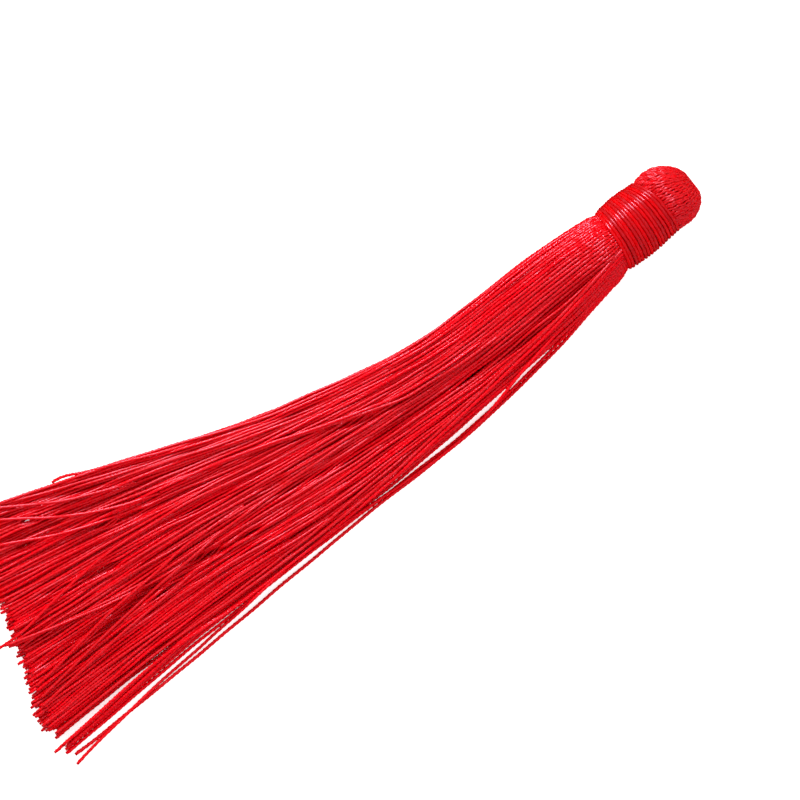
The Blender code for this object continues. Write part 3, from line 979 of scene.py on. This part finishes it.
def core_ring(ring, before):
    """Extrudes the selected ring to its next place and size."""
    step = (ring.along - before.along, ring.shift - before.shift, 0.0)
    bpy.ops.mesh.extrude_region_move(TRANSFORM_OT_translate={"value": [MM * k for k in step]})
    size = (1.0, ring.half_width / before.half_width, ring.half_height / before.half_height)
    centre = placed((ring.along, ring.shift, AXIS_HEIGHT))
    bpy.ops.transform.resize(value=size, center_override=centre)
    return ring


bpy.ops.object.select_all(action="DESELECT")
bpy.ops.mesh.primitive_circle_add(vertices=CORE_SIDES, radius=NECK_CORE * MM, fill_type="NGON",
                                  location=placed((CORE_START, 0.0, AXIS_HEIGHT)),
                                  rotation=(0.0, math.radians(90), 0.0))
core = bpy.context.object
core.name = "head_core"
bpy.ops.object.transform_apply(location=True, rotation=True, scale=True)
bpy.ops.object.mode_set(mode="EDIT")
bpy.ops.mesh.select_all(action="SELECT")
ring_before = HeadRing(CORE_START, NECK_CORE, NECK_CORE, 0.0)
ring_before = core_ring(HeadRing(CORE_SHOULDER, NECK_CORE, NECK_CORE, 0.0), ring_before)
for ring in HEAD:
    inner = HeadRing(ring.along - CORE_INSET / 2, ring.half_width - CORE_INSET,
                     ring.half_height - CORE_INSET, ring.shift)
    ring_before = core_ring(inner, ring_before)
bpy.ops.mesh.select_all(action="SELECT")
bpy.ops.mesh.normals_make_consistent(inside=False)
bpy.ops.object.mode_set(mode="OBJECT")
for point in core.data.vertices:
    point.co.z = max(point.co.z, CORE_REST * MM)
bpy.ops.object.shade_smooth_by_angle(angle=CORE_SMOOTH)
core_finish = silk("packed_yarn_shaded", PACKED_SHADE_DEEP, PACKED_SHADE_BRIGHT,
                   roughness=0.7, filament_depth=0.02, specular=0.1)
core.data.materials.append(core_finish)
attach(core, "root")
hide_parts("yarn_bundle")
print("core has", len(core.data.polygons), "faces")

# %% [markdown]
# ## The head
# The skein is folded here: each yarn leaves the binding on top, goes over the blunt crown and
# comes back underneath. Seen from above they run side by side along the axis, crimped where the
# thread has pulled them in. Half of them dive under the others before the crown, where there is
# less room.

# %% Lay the head's yarns
HEAD_LOOPS = 37
HEAD_CRIMP = 0.10
HEAD_WAVE = 1.4
HEAD_YARN = 0.80
HEAD_STEP = 0.28
SWIRL = -0.22
DIVE = 0.07
DIVE_BACK = 1.2
# Shares of the way over the head at which yarns dive, swirl and run straight again.
DIVES = (0.45, 0.9)
SWIRLS = (0.0, 0.7)
SWIRL_ENDS = (0.8, 1.0)
CROWN_TIP = 0.08
HEAD_JITTER = 0.02
# Head yarns take darker tones than the skirt's: painted shade on the head, which faces up into the
# sky's light.
HEAD_SHADED_TONES = (-0.1, 0.35)


def head_profile():
    """The centre line of a yarn over the head, ring by ring from the binding to the crown's tip."""
    inset = PLY_RADIUS * HEAD_YARN
    rows = [(ring.along, ring.half_width - inset, ring.half_height - inset, ring.shift)
            for ring in HEAD]
    last = HEAD[-1]
    tip = (last.along + CROWN_TIP, last.half_width - inset, 0.0, last.shift)
    return np.array(rows + [tip])


def head_loop(turn, dive, draw):
    """One yarn over the head, from the binding on top round to the binding underneath."""
    profile = head_profile()
    run = np.concatenate(([0.0], np.cumsum(np.hypot(*np.diff(profile[:, [0, 2]], axis=0).T))))
    at = np.arange(0.0, run[-1], RING_STEP / 2)
    along, wide, tall, shift = (table_curve(at, list(zip(run, column))) for column in profile.T)
    share = at / run[-1]
    sink = 1.0 - dive * smooth_step(*DIVES, share)
    phase = draw.uniform(0.0, 2 * math.pi)
    wave = 2 * math.pi * at / HEAD_WAVE + phase
    lift = sink + HEAD_CRIMP * np.cos(wave) / HEAD[1].half_width
    halves = []
    for side in (1.0, -1.0):
        swirl = side * SWIRL * smooth_step(*SWIRLS, share) * (1.0 - smooth_step(*SWIRL_ENDS, share))
        y = shift + wide * np.sin(turn + swirl) * lift + HEAD_CRIMP * np.sin(wave) * math.cos(turn)
        z = side * tall * np.cos(turn + swirl) * lift
        halves.append(np.stack([along - (1.0 - sink) * DIVE_BACK, y, z], axis=1))
    loop = np.concatenate([halves[0], halves[1][::-1][1:]]) + np.array([0.0, 0.0, AXIS_HEIGHT])
    loop[:, 2] = np.maximum(loop[:, 2], YARN_REST)
    return loop


head_lines = []
for k in range(HEAD_LOOPS):
    turn = math.radians(-90 + 180 * (k + 0.5) / HEAD_LOOPS) + lay.uniform(-HEAD_JITTER, HEAD_JITTER)
    dive = DIVE if k % 2 else 0.0
    loop = head_loop(turn, dive, lay)
    head_lines.append(Drawn(loop, lay.uniform(*HEAD_SHADED_TONES), HEAD_YARN, HEAD_STEP))
head_yarns = yarn_object("head_yarns", head_lines, yarn_silk, lay)
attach(head_yarns, "root")
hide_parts("yarn_bundle")

# %% [markdown]
# ## The binding
# One glossy thread is wound round the neck, turn beside turn, from the strands to the head. That
# is a coil, and a coil is what the Screw modifier makes best: one round section, swept round the
# axis while it steps along. Its ends dive under the neighbouring turns, as a wound thread is
# finished.

# %% Binding thread, the finish
THREAD_DEEP = (0.44, 0.0000, 0.0003, 1.0)
THREAD_BRIGHT = (0.68, 0.0002, 0.0015, 1.0)
thread_silk = silk("binding_thread", THREAD_DEEP, THREAD_BRIGHT,
                   roughness=0.26, filament_depth=0.03, specular=1.0)

# %% Wind the coil
TURNS = 17
THREAD_RADIUS = 0.29
COIL_RADIUS = 5.1 - THREAD_RADIUS
COIL_PITCH = BINDING_LENGTH / TURNS
COIL_STEPS = 144
THREAD_SIDES = 8

bpy.ops.object.select_all(action="DESELECT")
bpy.ops.mesh.primitive_circle_add(vertices=THREAD_SIDES, radius=THREAD_RADIUS * MM,
                                  rotation=(math.radians(90), 0.0, 0.0))
coil = bpy.context.object
coil.name = "binding_coil"
bpy.ops.object.transform_apply(location=True, rotation=True, scale=True)
bpy.ops.object.mode_set(mode="EDIT")
bpy.ops.mesh.select_all(action="SELECT")
bpy.ops.transform.translate(value=(0.0, 0.0, -COIL_RADIUS * MM))
bpy.ops.object.mode_set(mode="OBJECT")
winding = coil.modifiers.new("winding", "SCREW")
winding.axis = "X"
winding.angle = math.radians(360)
winding.screw_offset = COIL_PITCH * MM
winding.steps = winding.render_steps = COIL_STEPS
winding.iterations = TURNS
apply_modifiers(coil)
coil_rings = np.array([point.co for point in coil.data.vertices]).reshape(-1, THREAD_SIDES, 3) / MM
print("coil:", len(coil_rings), "rings of", THREAD_SIDES)

# %% [markdown]
# A wound coil isn't even. The neck under it is fuller in the middle, both edges lean, so the
# turns fan slightly, and the turns next to the head are slack. The thread itself is two plies, so
# its section is an oval that turns as it goes. Where the coil meets the table it is pressed flat.

# %% Uneven turns, plies, tucked ends and the flat where it rests
# The coil's first edge, at the strands' side, and its last, at the head, from one side of the neck
# to the other: each is a row of (across, along).
FIRST_EDGE = ((-5.3, -0.95), (-4.0, -0.60), (-1.5, -0.10), (1.0, 0.15), (5.3, 0.50))
LAST_EDGE = ((-5.3, 9.45), (-4.0, 9.70), (-1.2, 9.82), (1.0, 9.75), (2.7, 9.35), (4.0, 8.85),
             (5.3, 8.10))
# How far the coil's outside stands from the axis, in rows of (share of its length, radius).
FULLNESS = ((0.0, 5.08), (0.12, 5.22), (0.4, 5.42), (0.65, 5.36), (0.85, 5.16), (1.0, 5.02))
COIL_SHIFT = 0.12
TUCK = 0.55
TUCK_TURNS = 0.25
SLACK_TURNS = 2.2
SLACK = 0.04
UNEVEN = 0.05
UNEVEN_SIDE = 0.7
PRESSED = 0.9
COIL_SEED = 3
PLY_LOBE = 0.08
PLY_LENGTH = 1.7


def uneven_coil(rings, draw):
    """The coil as wound by hand, from an even one."""
    turns = np.linspace(0.0, TURNS, len(rings))

    def each_turn(reach):
        """A random value for each turn, read along the thread."""
        return np.interp(turns, np.arange(TURNS + 1), draw.uniform(-reach, reach, TURNS + 1))

    centre = rings.mean(axis=1)
    out = centre[:, 1:] / np.linalg.norm(centre[:, 1:], axis=1, keepdims=True)
    share = turns / TURNS
    radius = table_curve(share, FULLNESS) - THREAD_RADIUS
    radius += each_turn(UNEVEN)
    slack = np.clip(turns - (TURNS - SLACK_TURNS), 0.0, None)
    radius += SLACK * slack
    tucked = smooth_step(0.0, TUCK_TURNS, turns) * smooth_step(0.0, TUCK_TURNS, TURNS - turns)
    radius -= TUCK * (1.0 - tucked)
    y = out[:, 0] * radius
    first = table_curve(y, FIRST_EDGE) + THREAD_RADIUS
    last = table_curve(y, LAST_EDGE) - THREAD_RADIUS
    x = first + share * (last - first)
    x += UNEVEN * each_turn(1.0)
    x += UNEVEN * np.sin(2 * math.pi * turns + UNEVEN_SIDE) * each_turn(1.0)
    z = AXIS_HEIGHT + out[:, 1] * radius
    moved = np.stack([x, y + COIL_SHIFT * share, np.maximum(z, THREAD_RADIUS * PRESSED)], axis=1)
    return moved[:, None, :] + plied(rings - centre[:, None, :])


def plied(sections):
    """Round sections as two-ply ones: ovals that turn along the thread."""
    round_thread = 2 * math.pi * np.arange(THREAD_SIDES) / THREAD_SIDES
    along = np.arange(len(sections)) * 2 * math.pi * COIL_RADIUS / COIL_STEPS
    twist = 2 * math.pi * along / (2 * PLY_LENGTH)
    oval = 1.0 + PLY_LOBE * np.cos(2 * (round_thread[None, :] - twist[:, None]))
    return sections * oval[..., None]


wound = uneven_coil(coil_rings, np.random.default_rng(COIL_SEED))
wound[..., 2] = np.maximum(wound[..., 2], 0.0)
for point, place in zip(coil.data.vertices, placed(wound.reshape(-1, 3))):
    point.co = place
bpy.ops.object.mode_set(mode="EDIT")
bpy.ops.mesh.select_all(action="DESELECT")
bpy.ops.mesh.select_non_manifold()
bpy.ops.mesh.edge_face_add()
bpy.ops.mesh.select_all(action="SELECT")
bpy.ops.mesh.normals_make_consistent(inside=False)
bpy.ops.object.mode_set(mode="OBJECT")
coil.data.polygons.foreach_set("use_smooth", [True] * len(coil.data.polygons))
print("coil has", len(coil.data.polygons), "faces")

# %% Map the thread and finish it
TONE_MIDDLE = 0.5
TONE_SWING = 0.4
TONE_A_TURN = 1.89


def map_thread(piece, sides, turn_length):
    """The thread's UV map: u round it and v along it in millimetres."""
    layer = piece.data.uv_layers.new(name="yarn")
    tone = piece.data.attributes.new("tone", "FLOAT", "POINT")
    ring_length = turn_length / COIL_STEPS
    values = [TONE_MIDDLE + TONE_SWING * math.sin(TONE_A_TURN * (k // sides) / COIL_STEPS)
              for k in range(len(piece.data.vertices))]
    tone.data.foreach_set("value", values)
    for face in piece.data.polygons:
        numbers = [piece.data.loops[c].vertex_index for c in face.loop_indices]
        wraps = {0, sides - 1} <= {n % sides for n in numbers}
        for corner, number in zip(face.loop_indices, numbers):
            around = number % sides
            around = sides if wraps and around == 0 else around
            layer.data[corner].uv = (around / sides, number // sides * ring_length)


map_thread(coil, THREAD_SIDES, 2 * math.pi * COIL_RADIUS)
coil.data.materials.append(thread_silk)
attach(coil, "root")
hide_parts("neck_binding")

# %% [markdown]
# ## Measure and finish
# The dressed tassel has to fill the same box as the imported model. Both boxes are printed side by
# side.

# %% Compare the boxes
sizes = {"cad": [list(corner) for corner in CAD_BOX],
         "visual": [list(corner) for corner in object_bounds()]}
for name, (low, high) in sizes.items():
    print(name, [round((b - a) / MM, 2) for a, b in zip(low, high)])
